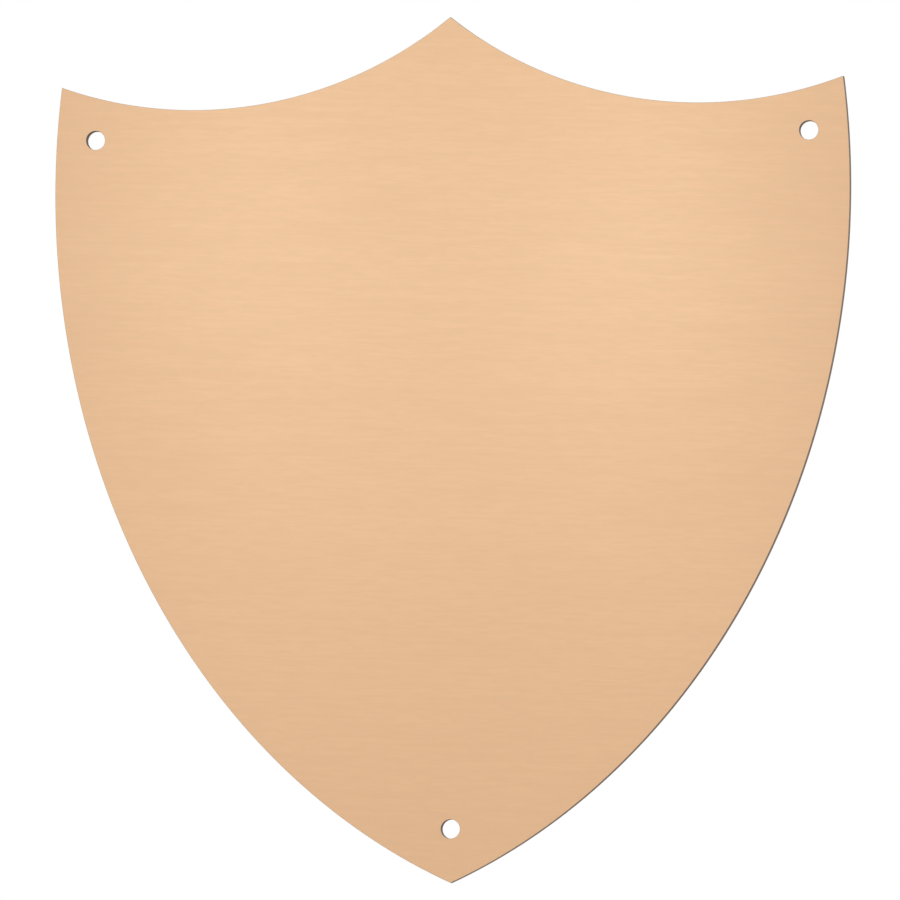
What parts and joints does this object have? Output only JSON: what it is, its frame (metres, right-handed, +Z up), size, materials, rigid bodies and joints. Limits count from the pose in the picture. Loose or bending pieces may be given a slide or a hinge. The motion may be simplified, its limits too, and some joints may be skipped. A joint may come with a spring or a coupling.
{
  "type": "shield-shaped plaque blank",
  "caption": "Blank shield-shaped wall plaque cut from brushed copper-finish aluminium composite panel, with open screw holes near the top corners and the tip.",
  "frame": {"origin": "centre of the rear face, halfway between the peak and the tip", "axes": "+Z up, from the tip to the peak; -Y out of the brushed front face, away from the wall; +X to the right as seen from the front"},
  "size_m": [0.21, 0.003, 0.226],
  "materials": {
    "brushed_copper_skin": "anodised copper tone, fine horizontal brushing, satin",
    "bond_film": "thin translucent film, dull",
    "core_plastic": "dark polyethylene with fine routing marks on its cut edge",
    "rear_skin": "plain rolled aluminium with a thin grey primer coat, dull"
  },
  "bodies": {
    "root": {"front_skin": "brushed_copper_skin", "front_bond_film": "bond_film", "core": "core_plastic", "rear_bond_film": "bond_film", "rear_skin": "rear_skin"}
  },
  "joints": []
}
